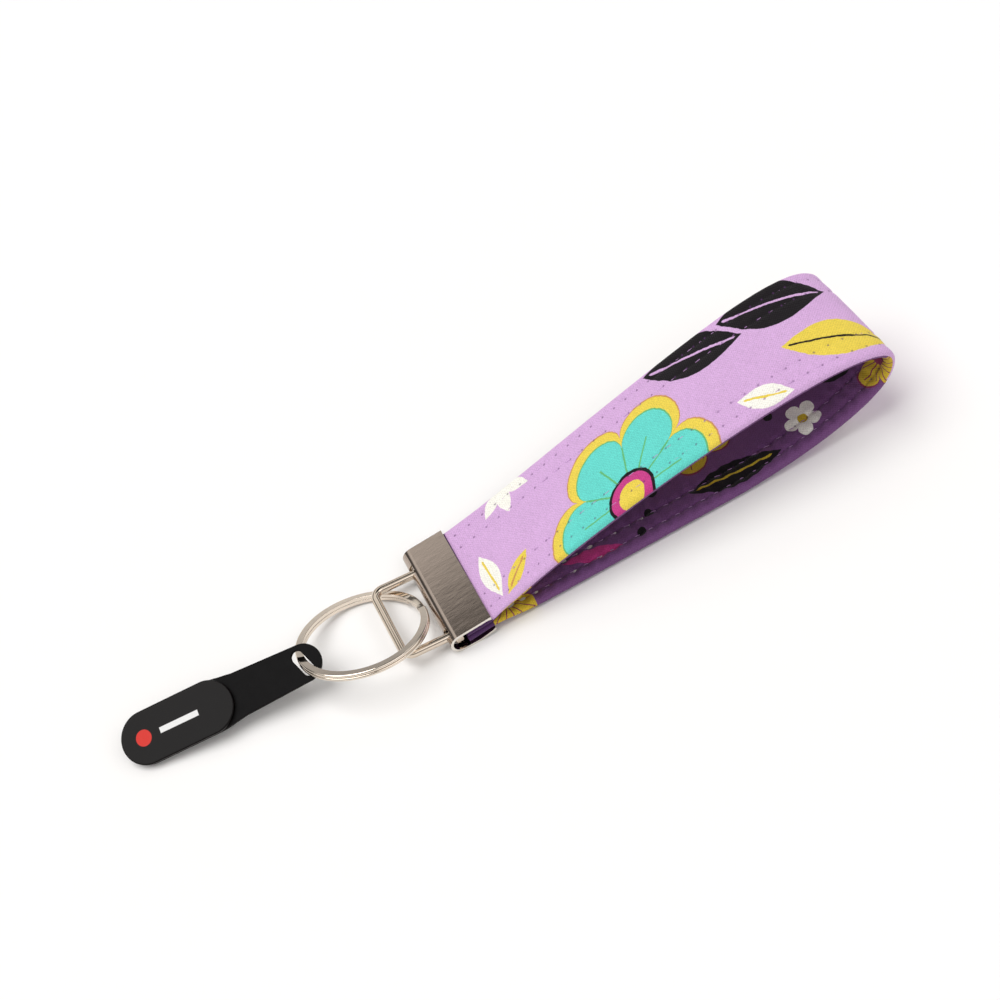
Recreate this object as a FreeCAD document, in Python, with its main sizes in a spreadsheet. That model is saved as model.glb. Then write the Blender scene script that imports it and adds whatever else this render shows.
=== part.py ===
"""Wristlet keychain: padded fabric wrist loop, crimped clamp, wire bail, split ring and name tag.

Frame, in millimetres: origin at the centre of the clamp's underside, +X along the strap towards
the wrist loop, +Y across the strap, +Z up.  The clamp and the lower run of the strap lie on z = 0.
"""
import FreeCAD, Part
import math
import os

import Sketcher
from FreeCAD import Placement, Rotation, Vector

DIMENSIONS = {
    # clamp: one folded sheet, rolled at the nose, with two lips that bite the strap
    "ClampWidth": 32.5,
    "ClampDepth": 12.0,
    "ClampHeight": 5.8,
    "SheetThickness": 0.7,
    "LipReach": 0.3,
    "LipLength": 1.0,
    "MouthTop": 6.4,
    "MouthBottom": 0.9,
    "UndersideFlat": 7.5,
    # wire bail, hinged inside the clamp's nose
    "WireDiameter": 2.3,
    "BailWidth": 25.4,
    "BailReach": 13.7,
    "BailCornerRadius": 2.6,
    "BailFootEnd": 15.0,
    "BailRise": 5.6,
    "BailShift": -1.2,
    "SlotClearance": 0.5,
    "SlotTop": 5.3,
    "SlotDepth": 2.2,
    # split ring: one flat wire wound in two turns
    "RingDiameter": 34.4,
    "RingWireWidth": 2.0,
    "RingWireHeight": 0.92,
    "RingGap": 0.04,
    "RingRampAngle": 24.0,
    "RingTilt": 18.5,
    "RingLowHeading": 63.6,
    "RingCentreAlong": -23.7,
    "RingCentreAcross": -1.6,
    # wrist loop
    "StrapWidth": 32.0,
    "StrapThickness": 2.7,
    "StrapEndThickness": 1.7,
    "StrapEndGap": 0.1,
    "StrapInset": 5.0,
    "StrapTailDrop": 0.5,
    "StrapLift": 0.2,
    "CoreWidth": 27.0,
    "CoreThickness": 1.1,
    "ThreadWidth": 0.4,
    "ThreadHeight": 0.12,
    "OuterSeamInset": 3.2,
    "InnerSeamInset": 7.6,
    # name tag
    "TagLength": 50.4,
    "TagNeckRadius": 4.9,
    "TagHeadRadius": 6.7,
    "TagNeckLength": 18.0,
    "TagNeckHalfWidth": 5.7,
    "TagFlareEnd": 25.0,
    "TagThickness": 1.2,
    "TagSlotLength": 7.5,
    "TagSlotWidth": 3.2,
    "TagSlotTurn": 22.0,
    "PlateLength": 31.2,
    "PlateRadius": 6.9,
    "PlateThickness": 0.9,
    "PlateFillet": 0.3,
    "AdhesiveThickness": 0.15,
    "AdhesiveInset": 0.8,
    "TagHoleAngle": 186.0,
    "TagHeading": 170.4,
    "TagPitch": 7.1,
    "TagRoll": -24.0,
}

# Control points of the wrist loop's outer side, (x, z) from the clamp's mouth round to the lower
# run, for the loop's two edges.  The loop is laid down slightly twisted, so the two differ.
FAR_TOP = [(50.7, 15.1), (119.4, 43.5), (119.4, 20.6)]
FAR_BOTTOM = [(119.4, 5.5), (84.0, 0.0), (74.0, 0.0)]
NEAR_TOP = [(26.2, 17.2), (122.4, 36.3), (122.4, 18.7)]
NEAR_BOTTOM = [(122.4, 4.2), (84.0, 0.0), (74.0, 0.0)]
LOWER_RUN_START = 14.0
# how the lower run eases up into the clamp: the length held flat at each end of the rise
FLAT_EASE = 6.0
MOUTH_EASE = 4.0

OVERCUT = 0.1  # how far a cutting shape runs past the face it cuts
BEND_SLACK = 0.1  # added to half the wire's diameter for the radius of the bail's tight bends
RING_CROWN = 0.8  # depth of the wire's rounded outer side as a share of half its height
PRESSED_THREAD = 0.04  # height of the thread where the clamp presses it flat
# rounding where the tag widens: distance along from each end of the flare, and the offset there
FLARE_STEP = 1.4
FLARE_RISE = 0.22
FLARE_DROP = 0.13
SMALLEST_CUT = 1.0  # a cut that takes away less than this, in cubic mm, has missed

doc = FreeCAD.newDocument("WristletKeychain")
sheet = doc.addObject("Spreadsheet::Sheet", "Dimensions")
for row, (alias, value) in enumerate(DIMENSIONS.items(), start=1):
    sheet.set(f"A{row}", alias)
    sheet.set(f"B{row}", str(value))
    sheet.setAlias(f"B{row}", alias)
doc.recompute()


def dim(alias):
    """Read one driving dimension from the sheet."""
    return float(sheet.get(alias))


# ---------------------------------------------------------------- sketch helpers
def origin_plane(body, role):
    return next(item for item in body.Origin.OriginFeatures if item.Role == role)


def new_body(label):
    body = doc.addObject("PartDesign::Body", label)
    body.Label = label
    return body


def new_sketch(body, name, role):
    sketch = body.newObject("Sketcher::SketchObject", name)
    sketch.AttachmentSupport = [(origin_plane(body, role), "")]
    sketch.MapMode = "FlatFace"
    return sketch


def bind(sketch, kind, arguments, expression):
    """Add one constraint and drive it from the sheet."""
    index = sketch.addConstraint(Sketcher.Constraint(kind, *arguments))
    sketch.setExpression(f"Constraints[{index}]", expression)
    return index


def circle_at(sketch, x, y, radius, expression):
    index = sketch.addGeometry(Part.Circle(Vector(x, y, 0), Vector(0, 0, 1), radius))
    bind(sketch, "Radius", (index, radius), expression)
    return index


def pad(body, sketch, length, midplane=False):
    feature = body.newObject("PartDesign::Pad", "Pad" + sketch.Name)
    feature.Profile = sketch
    feature.setExpression("Length", length)
    feature.Midplane = midplane
    return feature


def rectangle(sketch, x1, y1, x2, y2):
    corners = [Vector(x1, y1, 0), Vector(x2, y1, 0), Vector(x2, y2, 0), Vector(x1, y2, 0)]
    for start, end in zip(corners, corners[1:] + corners[:1]):
        sketch.addGeometry(Part.LineSegment(start, end))


def arc(start, middle, end):
    return Part.Arc(Vector(*start, 0), Vector(*middle, 0), Vector(*end, 0))


def line(start, end):
    return Part.LineSegment(Vector(*start, 0), Vector(*end, 0))


# ---------------------------------------------------------------- frame of the moving parts
nose_x = -dim("ClampDepth") / 2 + dim("ClampHeight") / 2
mouth_x = dim("ClampDepth") / 2
axis_z = dim("ClampHeight") / 2
mouth_z = (dim("MouthTop") + dim("MouthBottom")) / 2


def bail_placement():
    """The bail turns about the clamp's nose and rests a few degrees up, on the split ring."""
    turn = Rotation(Vector(0, 1, 0), dim("BailRise"))
    return Placement(Vector(nose_x, dim("BailShift"), axis_z), turn)


def ring_placement():
    """The ring leans on the table, and its low side passes under the crossbar's far end."""
    heading = math.radians(dim("RingLowHeading"))
    lean_axis = Vector(-math.sin(heading), math.cos(heading), 0)
    lean = Rotation(lean_axis, dim("RingTilt"))
    tilt = math.radians(dim("RingTilt"))
    thickness = 2 * dim("RingWireHeight") + dim("RingGap")
    height = dim("RingDiameter") / 2 * math.sin(tilt) + thickness / 2 * math.cos(tilt)
    return Placement(Vector(dim("RingCentreAlong"), dim("RingCentreAcross"), height), lean)


def tag_placement():
    """The tag hangs on the ring's wire: its hole is at a point of the wire's centre line."""
    ring = ring_placement()
    angle = math.radians(dim("TagHoleAngle"))
    radius = (dim("RingDiameter") - dim("RingWireWidth")) / 2
    hole = ring.multVec(Vector(radius * math.cos(angle), radius * math.sin(angle), 0))
    turn = Rotation(Vector(0, 0, 1), dim("TagHeading"))
    turn = turn.multiply(Rotation(Vector(0, 1, 0), dim("TagPitch")))
    turn = turn.multiply(Rotation(Vector(1, 0, 0), dim("TagRoll")))
    place = Placement(hole, turn)
    return place.multiply(Placement(Vector(0, 0, -dim("TagThickness") / 2), Rotation()))


# ---------------------------------------------------------------- clamp
def make_clamp_shell():
    """A sheet folded round the nose, with the lips at the mouth turned in to bite the strap."""
    body = new_body("clamp_shell")
    back = -dim("ClampDepth") / 2
    high = dim("ClampHeight")
    gauge = dim("SheetThickness")
    lip = dim("LipReach")
    lip_x = mouth_x - dim("LipLength")
    flat_x = back + dim("UndersideFlat")
    top = dim("MouthTop")
    bottom = dim("MouthBottom")
    top_at_lip = high + (top - high) * (lip_x - nose_x) / (mouth_x - nose_x)
    bottom_at_lip = bottom * (lip_x - flat_x) / (mouth_x - flat_x)
    sketch = new_sketch(body, "ClampSide", "XZ_Plane")
    corners = [
        (nose_x, 0), (flat_x, 0), (mouth_x, bottom), (mouth_x, bottom + gauge + lip),
        (lip_x, bottom_at_lip + gauge), (flat_x, gauge), (nose_x, gauge),
    ]
    upper_corners = [
        (nose_x, high - gauge), (lip_x, top_at_lip - gauge), (mouth_x, top - gauge - lip),
        (mouth_x, top), (nose_x, high),
    ]
    for run in (corners, upper_corners):
        for start, end in zip(run, run[1:]):
            sketch.addGeometry(line(start, end))
    sketch.addGeometry(arc((nose_x, high), (back, high / 2), (nose_x, 0)))
    sketch.addGeometry(arc((nose_x, gauge), (back + gauge, high / 2), (nose_x, high - gauge)))
    pad(body, sketch, "Dimensions.ClampWidth", midplane=True)
    doc.recompute()
    before = body.Shape.Volume
    slots = new_sketch(body, "BailSlots", "YZ_Plane")
    half_slot = (dim("WireDiameter") + dim("SlotClearance")) / 2
    leg_y = (dim("BailWidth") - dim("WireDiameter")) / 2
    for side in (-1, 1):
        centre = side * leg_y + dim("BailShift")
        rectangle(slots, centre - half_slot, -OVERCUT, centre + half_slot, dim("SlotTop"))
    slots.AttachmentOffset = Placement(Vector(0, 0, back + dim("SlotDepth")), Rotation())
    pocket = body.newObject("PartDesign::Pocket", "BailSlotPocket")
    pocket.Profile = slots
    pocket.setExpression("Length", "Dimensions.SlotDepth + 1")
    doc.recompute()
    if before - body.Shape.Volume < SMALLEST_CUT:
        pocket.Reversed = True
        doc.recompute()
    if before - body.Shape.Volume < SMALLEST_CUT:
        raise RuntimeError("the bail slots cut nothing")
    return body


# ---------------------------------------------------------------- bail
def make_wire_bail():
    """One wire: a foot in each end of the nose, two legs and a crossbar with round corners."""
    body = new_body("wire_bail")
    leg_y = (dim("BailWidth") - dim("WireDiameter")) / 2
    reach = -dim("BailReach")
    corner = dim("BailCornerRadius")
    foot = dim("BailFootEnd") - dim("WireDiameter") / 2
    bend = dim("WireDiameter") / 2 + BEND_SLACK
    path = new_sketch(body, "BailPath", "XY_Plane")
    cut = 1 - math.sqrt(0.5)

    def half(side):
        root = [(0, side * foot), (0, side * (leg_y + bend))]
        knee = (-bend * cut, side * (leg_y + bend * cut))
        leg = [(-bend, side * leg_y), (reach + corner, side * leg_y)]
        turn = (reach + corner * cut, side * (leg_y - corner * cut))
        bar = (reach, side * (leg_y - corner))
        return [line(*root), arc(root[1], knee, leg[0]), line(*leg), arc(leg[1], turn, bar)], bar

    near_half, near_bar = half(-1)
    far_half, far_bar = half(1)
    for edge in near_half + [line(near_bar, far_bar)] + far_half:
        path.addGeometry(edge)
    section = new_sketch(body, "BailSection", "XZ_Plane")
    section.AttachmentOffset = Placement(Vector(0, 0, foot), Rotation())
    circle_at(section, 0, 0, dim("WireDiameter") / 2, "Dimensions.WireDiameter / 2")
    doc.recompute()
    pipe = body.newObject("PartDesign::AdditivePipe", "BailWire")
    pipe.Profile = section
    pipe.Spine = (path, [f"Edge{number}" for number in range(1, 10)])
    doc.recompute()
    body.Placement = bail_placement()
    return body


# ---------------------------------------------------------------- split ring
def ring_section(level, angle):
    """The wire's section, rounded on its outer side, at a height and an angle round the ring."""
    outer = dim("RingDiameter") / 2
    inner = outer - dim("RingWireWidth")
    half = dim("RingWireHeight") / 2
    flat = outer - half * RING_CROWN
    start = Vector(inner, 0, level - half)
    low = Vector(flat, 0, level - half)
    high = Vector(flat, 0, level + half)
    end = Vector(inner, 0, level + half)
    edges = [
        Part.LineSegment(start, low).toShape(),
        Part.Arc(low, Vector(outer, 0, level), high).toShape(),
        Part.LineSegment(high, end).toShape(),
        Part.LineSegment(end, start).toShape(),
    ]
    wire = Part.Wire(edges)
    wire.rotate(Vector(0, 0, 0), Vector(0, 0, 1), angle)
    return wire


def make_split_ring():
    """Two flat turns joined by a short ramp; the wire's ends lie either side of the ramp."""
    level = (dim("RingWireHeight") + dim("RingGap")) / 2
    ramp = dim("RingRampAngle")
    turn = 360 - ramp
    climb_steps = [i / 4 for i in range(5)]
    up = Vector(0, 0, 1)
    lower = Part.Face(ring_section(-level, ramp)).revolve(Vector(0, 0, 0), up, turn)
    upper = Part.Face(ring_section(level, ramp)).revolve(Vector(0, 0, 0), up, turn)
    sections = [ring_section(-level * math.cos(math.pi * part), ramp * part)
                for part in climb_steps]
    climb = Part.makeLoft(sections, True)
    ring = lower.fuse([climb, upper])
    feature = doc.addObject("Part::Feature", "split_ring")
    feature.Label = "split_ring"
    feature.Shape = ring
    feature.Placement = ring_placement()
    return feature


# ---------------------------------------------------------------- wrist loop
def offset_polygon(points, distance):
    """Move a control polygon sideways, to its right, keeping its legs parallel."""
    legs = []
    for (x1, z1), (x2, z2) in zip(points, points[1:]):
        length = math.hypot(x2 - x1, z2 - z1)
        across = ((z2 - z1) / length * distance, -(x2 - x1) / length * distance)
        legs.append(((x1 + across[0], z1 + across[1]), (x2 + across[0], z2 + across[1])))
    moved = [legs[0][0]]
    for (a, b), (c, d) in zip(legs, legs[1:]):
        ux, uz = b[0] - a[0], b[1] - a[1]
        vx, vz = d[0] - c[0], d[1] - c[1]
        cross = ux * vz - uz * vx
        step = ((c[0] - a[0]) * vz - (c[1] - a[1]) * vx) / cross
        moved.append((a[0] + ux * step, a[1] + uz * step))
    moved.append(legs[-1][1])
    return moved


def loop_side(share, depth, end_depth):
    """One side of the band at a share of the way from the near edge to the far edge.

    depth is how far the side lies inside the band's outer face, and end_depth the same where
    the band is squeezed in the clamp.  It runs from the clamp over the top and back below.
    """
    lift = dim("StrapLift")

    def mix(near, far):
        return [(a + (c - a) * share, b + (d - b) * share) for (a, b), (c, d) in zip(near, far)]

    squeeze = dim("StrapEndGap") / 2 + dim("StrapEndThickness")
    upper = [(mouth_x, mouth_z + squeeze)] + mix(NEAR_TOP, FAR_TOP)
    lower = [upper[-1]] + [(x, z + lift) for x, z in mix(NEAR_BOTTOM, FAR_BOTTOM)]
    upper = offset_polygon(upper, depth)
    lower = offset_polygon(lower, depth)
    upper[0] = (mouth_x, mouth_z + squeeze - end_depth)
    back = mouth_x + LOWER_RUN_START
    run = [lower[-1], (back, lift + depth)]
    low_end = (mouth_x, mouth_z - squeeze + end_depth)
    rise = [run[-1], (back - FLAT_EASE, lift + depth), (mouth_x + MOUTH_EASE, low_end[1]), low_end]
    return upper, lower, run, rise


def loop_edges(side, y):
    """The side's edges in the plane at y, with the straight tails that lie inside the clamp."""
    def at(point):
        return Vector(point[0], y, point[1])

    def curve(points):
        bezier = Part.BezierCurve()
        bezier.setPoles([at(point) for point in points])
        return bezier.toShape()

    upper, lower, run, rise = side
    tail_x = mouth_x - dim("ClampDepth") + dim("StrapInset")
    start = Vector(tail_x, y, upper[0][1] - dim("StrapTailDrop"))
    end = Vector(tail_x, y, rise[-1][1] - dim("StrapTailDrop"))
    edges = [
        Part.LineSegment(start, at(upper[0])).toShape(),
        curve(upper),
        curve(lower),
        Part.LineSegment(at(run[0]), at(run[1])).toShape(),
        curve(rise),
        Part.LineSegment(at(rise[-1]), end).toShape(),
    ]
    return start, end, edges


def band(y1, y2, depths, end_depths):
    """A closed strip of the loop between two offsets from its outer face."""
    half = dim("StrapWidth") / 2
    wires = []
    for y in (y1, y2):
        share = (y + half) / (2 * half)
        outer = loop_edges(loop_side(share, depths[0], end_depths[0]), y)
        inner = loop_edges(loop_side(share, depths[1], end_depths[1]), y)
        closing = Part.LineSegment(outer[1], inner[1]).toShape()
        opening = Part.LineSegment(inner[0], outer[0]).toShape()
        wires.append(Part.Wire(outer[2] + [closing] + inner[2][::-1] + [opening]))
    return Part.makeLoft(wires, True, True)


def add_feature(label, shape):
    feature = doc.addObject("Part::Feature", label)
    feature.Label = label
    feature.Shape = shape
    return feature


def make_wrist_loop():
    """The fabric sleeve, the stiffening core inside it and four rows of topstitching."""
    half = dim("StrapWidth") / 2
    thick = dim("StrapThickness")
    end_thick = dim("StrapEndThickness")
    cover_depth = (thick - dim("CoreThickness")) / 2
    squeezed = dim("CoreThickness") * end_thick / thick
    end_cover = (end_thick - squeezed) / 2
    core_half = dim("CoreWidth") / 2
    core_depths = (cover_depth, thick - cover_depth)
    core_ends = (end_cover, end_thick - end_cover)
    whole = band(-half, half, (0, thick), (0, end_thick))
    core = band(-core_half, core_half, core_depths, core_ends)
    add_feature("strap_cover", whole.cut(core))
    add_feature("strap_core", core)
    threads = []
    height = dim("ThreadHeight")
    wide = dim("ThreadWidth") / 2
    for inset in (dim("OuterSeamInset"), dim("InnerSeamInset")):
        for side in (-1, 1):
            y = side * (half - inset)
            threads.append(band(y - wide, y + wide, (-height, 0), (-height, 0)))
            inside = (thick, thick + height)
            pressed = (end_thick, end_thick + PRESSED_THREAD)
            threads.append(band(y - wide, y + wide, inside, pressed))
    clamp_zone = Part.makeBox(dim("ClampDepth") + OVERCUT, 2 * half, 2 * dim("ClampHeight"),
                              Vector(-mouth_x, -half, -dim("ClampHeight") / 2))
    add_feature("topstitch_thread", Part.makeCompound(threads).cut(clamp_zone))


# ---------------------------------------------------------------- name tag
def make_tag_strap():
    """A soft flat paddle: a round neck end slotted for the ring, widening to a round head."""
    body = new_body("tag_strap")
    neck = dim("TagNeckRadius")
    head = dim("TagHeadRadius")
    tip = dim("TagLength")
    neck_end = dim("TagNeckLength")
    flare_end = dim("TagFlareEnd")
    neck_half = dim("TagNeckHalfWidth")
    head_start = tip - head
    middle = (neck_end + flare_end) / 2
    sketch = new_sketch(body, "TagOutline", "XY_Plane")
    sketch.addGeometry(arc((0, neck), (-neck, 0), (0, -neck)))
    sketch.addGeometry(arc((head_start, -head), (tip, 0), (head_start, head)))
    for side in (-1, 1):
        blend = (middle, side * (neck_half + head) / 2)
        first = (neck_end + FLARE_STEP, side * (neck_half + FLARE_RISE))
        last = (flare_end - FLARE_STEP, side * (head - FLARE_DROP))
        sketch.addGeometry(line((0, side * neck), (neck_end, side * neck_half)))
        sketch.addGeometry(arc((neck_end, side * neck_half), first, blend))
        sketch.addGeometry(arc(blend, last, (flare_end, side * head)))
        sketch.addGeometry(line((flare_end, side * head), (head_start, side * head)))
    pad(body, sketch, "Dimensions.TagThickness")
    doc.recompute()
    before = body.Shape.Volume
    hole = new_sketch(body, "TagHole", "XY_Plane")
    end_radius = dim("TagSlotWidth") / 2
    end_y = dim("TagSlotLength") / 2 - end_radius
    for side in (-1, 1):
        slot_end = (0, side * (end_y + end_radius))
        hole.addGeometry(arc((-end_radius, side * end_y), slot_end, (end_radius, side * end_y)))
        hole.addGeometry(line((side * end_radius, -end_y), (side * end_radius, end_y)))
    turn = Rotation(Vector(0, 0, 1), dim("TagSlotTurn"))
    hole.AttachmentOffset = Placement(Vector(0, 0, 0), turn)
    pocket = body.newObject("PartDesign::Pocket", "TagHolePocket")
    pocket.Profile = hole
    pocket.Type = 1
    pocket.Midplane = True
    doc.recompute()
    if before - body.Shape.Volume < SMALLEST_CUT:
        raise RuntimeError("the tag's slot cuts nothing")
    body.Placement = tag_placement()
    return body


def stadium(sketch, start, end, radius):
    sketch.addGeometry(arc((start, radius), (start - radius, 0), (start, -radius)))
    sketch.addGeometry(line((start, -radius), (end, -radius)))
    sketch.addGeometry(arc((end, -radius), (end + radius, 0), (end, radius)))
    sketch.addGeometry(line((end, radius), (start, radius)))


def make_tag_layer(label, inset, base, thickness, fillet=None):
    """A flat stadium-shaped layer on the tag's head."""
    body = new_body(label)
    radius = dim("PlateRadius")
    tip = dim("TagLength") + dim("PlateRadius") - dim("TagHeadRadius")
    start = tip - dim("PlateLength") + radius
    sketch = new_sketch(body, label + "Outline", "XY_Plane")
    stadium(sketch, start, tip - radius, radius - inset)
    feature = pad(body, sketch, thickness)
    doc.recompute()
    if fillet:
        top = max(face.CenterOfMass.z for face in feature.Shape.Faces)
        names = []
        for number, edge in enumerate(feature.Shape.Edges, start=1):
            if all(abs(vertex.Z - top) < 1e-6 for vertex in edge.Vertexes):
                names.append(f"Edge{number}")
        rounding = body.newObject("PartDesign::Fillet", label + "Edge")
        rounding.Base = (feature, names)
        rounding.setExpression("Radius", fillet)
        doc.recompute()
    body.Placement = tag_placement().multiply(Placement(Vector(0, 0, base), Rotation()))
    return body


# ---------------------------------------------------------------- build, check and write
make_clamp_shell()
make_wire_bail()
make_split_ring()
make_wrist_loop()
make_tag_strap()
thick_tag = dim("TagThickness")
glue = dim("AdhesiveThickness")
make_tag_layer("tag_adhesive", dim("AdhesiveInset"), thick_tag, "Dimensions.AdhesiveThickness")
make_tag_layer(
    "tag_plate", 0, thick_tag + glue, "Dimensions.PlateThickness", "Dimensions.PlateFillet")

doc.recompute()
NODES = ["clamp_shell", "wire_bail", "split_ring", "strap_cover", "strap_core",
         "topstitch_thread", "tag_strap", "tag_adhesive", "tag_plate"]
for item in doc.Objects:
    if {"Invalid", "Error"} & set(item.State):
        raise RuntimeError(f"{item.Label} did not build: {item.State}")
os.makedirs("parts", exist_ok=True)
for name in NODES:
    shape = doc.getObjectsByLabel(name)[0].Shape
    if shape.isNull() or not shape.isValid():
        raise RuntimeError(f"{name} has no valid shape")
    shape.exportStep(f"parts/{name}.step")
    box = shape.BoundBox
    print(f"{name}: {shape.Volume:.1f} mm3, {len(shape.Solids)} solids, "
          f"x {box.XMin:.2f}..{box.XMax:.2f}, y {box.YMin:.2f}..{box.YMax:.2f}, "
          f"z {box.ZMin:.2f}..{box.ZMax:.2f}")
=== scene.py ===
"""Looks of the wristlet keychain: printed fabric, topstitching, metal hardware and name tag.

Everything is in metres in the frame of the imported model.  Lengths written in millimetres are
multiplied by MM where they meet the scene.
"""
import math

import bmesh
import bpy
import numpy as np
from mathutils import Matrix, Vector


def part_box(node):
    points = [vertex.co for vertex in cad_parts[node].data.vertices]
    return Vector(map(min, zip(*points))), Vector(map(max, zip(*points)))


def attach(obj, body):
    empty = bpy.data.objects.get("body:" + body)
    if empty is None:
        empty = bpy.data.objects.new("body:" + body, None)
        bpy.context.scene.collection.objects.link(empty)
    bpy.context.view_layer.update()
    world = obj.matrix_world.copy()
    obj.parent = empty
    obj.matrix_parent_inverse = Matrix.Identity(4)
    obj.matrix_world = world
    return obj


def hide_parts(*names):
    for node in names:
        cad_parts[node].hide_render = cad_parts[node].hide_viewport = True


MM = 0.001
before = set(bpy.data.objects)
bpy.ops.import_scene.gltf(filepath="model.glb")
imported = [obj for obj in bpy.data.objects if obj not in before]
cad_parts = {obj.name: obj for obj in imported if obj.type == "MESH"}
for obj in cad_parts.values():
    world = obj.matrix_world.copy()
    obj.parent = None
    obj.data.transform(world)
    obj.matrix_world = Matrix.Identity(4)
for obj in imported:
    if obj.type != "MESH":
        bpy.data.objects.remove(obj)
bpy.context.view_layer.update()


# ---------------------------------------------------------------- sizes, in millimetres
def box_mm(node):
    """The lowest and highest corners of a CAD node, in millimetres."""
    low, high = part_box(node)
    return np.array(low) / MM, np.array(high) / MM


clamp_low, clamp_high = box_mm("clamp_shell")
cover_low, cover_high = box_mm("strap_cover")
STRAP_WIDTH = cover_high[1] - cover_low[1]
STRAP_THICKNESS = 2.7
END_THICKNESS = 1.7
END_GAP = 0.1
TOP_TAIL_DROP = 0.3
LOW_TAIL_DROP = 1.0
TAIL_SWELL = 0.35  # the cut ends spread a little where the clamp leaves room
STRAP_LIFT = cover_low[2]
TAIL_X = cover_low[0]
MOUTH_X = clamp_high[0]
MOUTH_BOTTOM = 0.9
MOUTH_Z = (clamp_high[2] + MOUTH_BOTTOM) / 2
# control points of the loop's outer side, (x, z), for its far and near edges
FAR_TOP = [(50.7, 15.1), (119.4, 43.5), (119.4, 20.6)]
FAR_BOTTOM = [(119.4, 5.5), (84.0, 0.0), (74.0, 0.0)]
NEAR_TOP = [(26.2, 17.2), (122.4, 36.3), (122.4, 18.7)]
NEAR_BOTTOM = [(122.4, 4.2), (84.0, 0.0), (74.0, 0.0)]
LOWER_RUN_START = 14.0
FLAT_EASE = 6.0
MOUTH_EASE = 4.0
TAPER_LENGTH = 14.0

CUT_EDGE_FACING = 0.6  # faces turned this far to the side are the sheet's cut edge

EDGE_ROUND = 1.3  # half width of the band's folded edges
LOWER_RUN_SHARE = 0.53  # share of the band's length at which it has turned back below
SEAM_ROWS = (3.2, 7.6)  # how far the rows of topstitching lie from each edge
STITCH_PITCH = 3.7
STITCH_LENGTH = 2.9
STITCH_MARGIN = 2.0  # the first and last stitches start this far from the clamp
THREAD_RADIUS = 0.1
THREAD_SINK = 0.08  # how far a stitch's middle lies in its groove
THREAD_DIVE = 0.28  # how much further its ends go in
THREAD_RINGS = 9
THREAD_SPOKES = 6

# relief of the sewn fabric: the height on the outer face, and what the looser inner face adds
GROOVE_DEPTH = (0.26, 0.34)
GROOVE_WIDTH = 0.62
PUCKER_HEIGHT = (0.05, 0.2)
PUCKER_WIDTH = 1.2
PUCKER_OFFSET = 1.1  # the puckers stand this far to each side of a groove
RIPPLE_HEIGHT = (0.06, 0.12)
RIPPLE_REACH = 15.0  # the ripples die away this far from the band's middle
SWELL_HEIGHT = 0.08
RELIEF_EASE = 3.0  # the relief grows to its full height over this distance from the clamp

STATION_STEP = 0.55  # spacing of the fabric mesh along the band
FABRIC_COLUMNS = 74  # columns of the fabric mesh across each face
ARC_COLUMNS = 8  # columns round each folded edge
FLOOR_CLEARANCE = 0.02  # the fabric's lowest points stay this far above the floor

SMOOTHING = math.radians(38)  # edges sharper than this stay crisp
THREAD_SMOOTHING = math.radians(80)


# ---------------------------------------------------------------- wrist loop surface
def bezier(poles, steps):
    """Points of Bezier curves; poles is (curves, poles, 2) and the result (steps, curves, 2)."""
    order = poles.shape[1] - 1
    t = np.linspace(0, 1, steps)
    weights = [math.comb(order, k) * t**k * (1 - t) ** (order - k) for k in range(order + 1)]
    return np.einsum("kn,ckd->ncd", np.array(weights), poles)


def outer_path(shares):
    """The band's outer side as evenly spaced stations.

    shares says how far each column lies from the near edge to the far edge.  The result is the
    distance along the band from the clamp's mouth, and (station, column, x/z) points.
    """
    shares = np.asarray(shares, float)[:, None, None]

    def mix(near, far):
        return np.array(near)[None] * (1 - shares) + np.array(far)[None] * shares

    def same(points):
        return np.repeat(np.array(points, float)[None], len(shares), axis=0)

    squeeze = END_GAP / 2 + END_THICKNESS
    back = MOUTH_X + LOWER_RUN_START
    top_z = MOUTH_Z + squeeze
    low_z = MOUTH_Z - squeeze
    bottom = mix(NEAR_BOTTOM, FAR_BOTTOM) + [0, STRAP_LIFT]
    top = mix(NEAR_TOP, FAR_TOP)
    mouth = same([(MOUTH_X, top_z)])
    runs = [
        (same([(TAIL_X, top_z - TOP_TAIL_DROP), (MOUTH_X, top_z)]), 20),
        (np.concatenate([mouth, top], axis=1), 400),
        (np.concatenate([top[:, -1:], bottom], axis=1), 200),
        (np.concatenate([bottom[:, -1:], same([(back, STRAP_LIFT)])], axis=1), 100),
        (same([(back, STRAP_LIFT), (back - FLAT_EASE, STRAP_LIFT),
               (MOUTH_X + MOUTH_EASE, low_z), (MOUTH_X, low_z)]), 60),
        (same([(MOUTH_X, low_z), (TAIL_X, low_z - LOW_TAIL_DROP)]), 20),
    ]
    pieces = [bezier(poles, steps)[1 if index else 0:] for index, (poles, steps) in enumerate(runs)]
    points = np.concatenate(pieces)
    middle = points.mean(axis=1)
    along = np.r_[0, np.cumsum(np.linalg.norm(np.diff(middle, axis=0), axis=1))]
    stations = np.linspace(0, along[-1], int(along[-1] / STATION_STEP))
    even = np.empty((len(stations),) + points.shape[1:])
    for column in range(points.shape[1]):
        for axis in range(2):
            even[:, column, axis] = np.interp(stations, along, points[:, column, axis])
    return stations - (MOUTH_X - TAIL_X), soften(even)


def soften(points, reach=4):
    """Round the path's small kinks by averaging over neighbouring stations."""
    weights = np.hanning(2 * reach + 3)[1:-1]
    weights /= weights.sum()
    start = 2 * points[:1] - points[reach:0:-1]
    end = 2 * points[-1:] - points[-2:-reach - 2:-1]
    padded = np.concatenate([start, points, end])
    return sum(w * padded[k:k + len(points)] for k, w in enumerate(weights))


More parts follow.
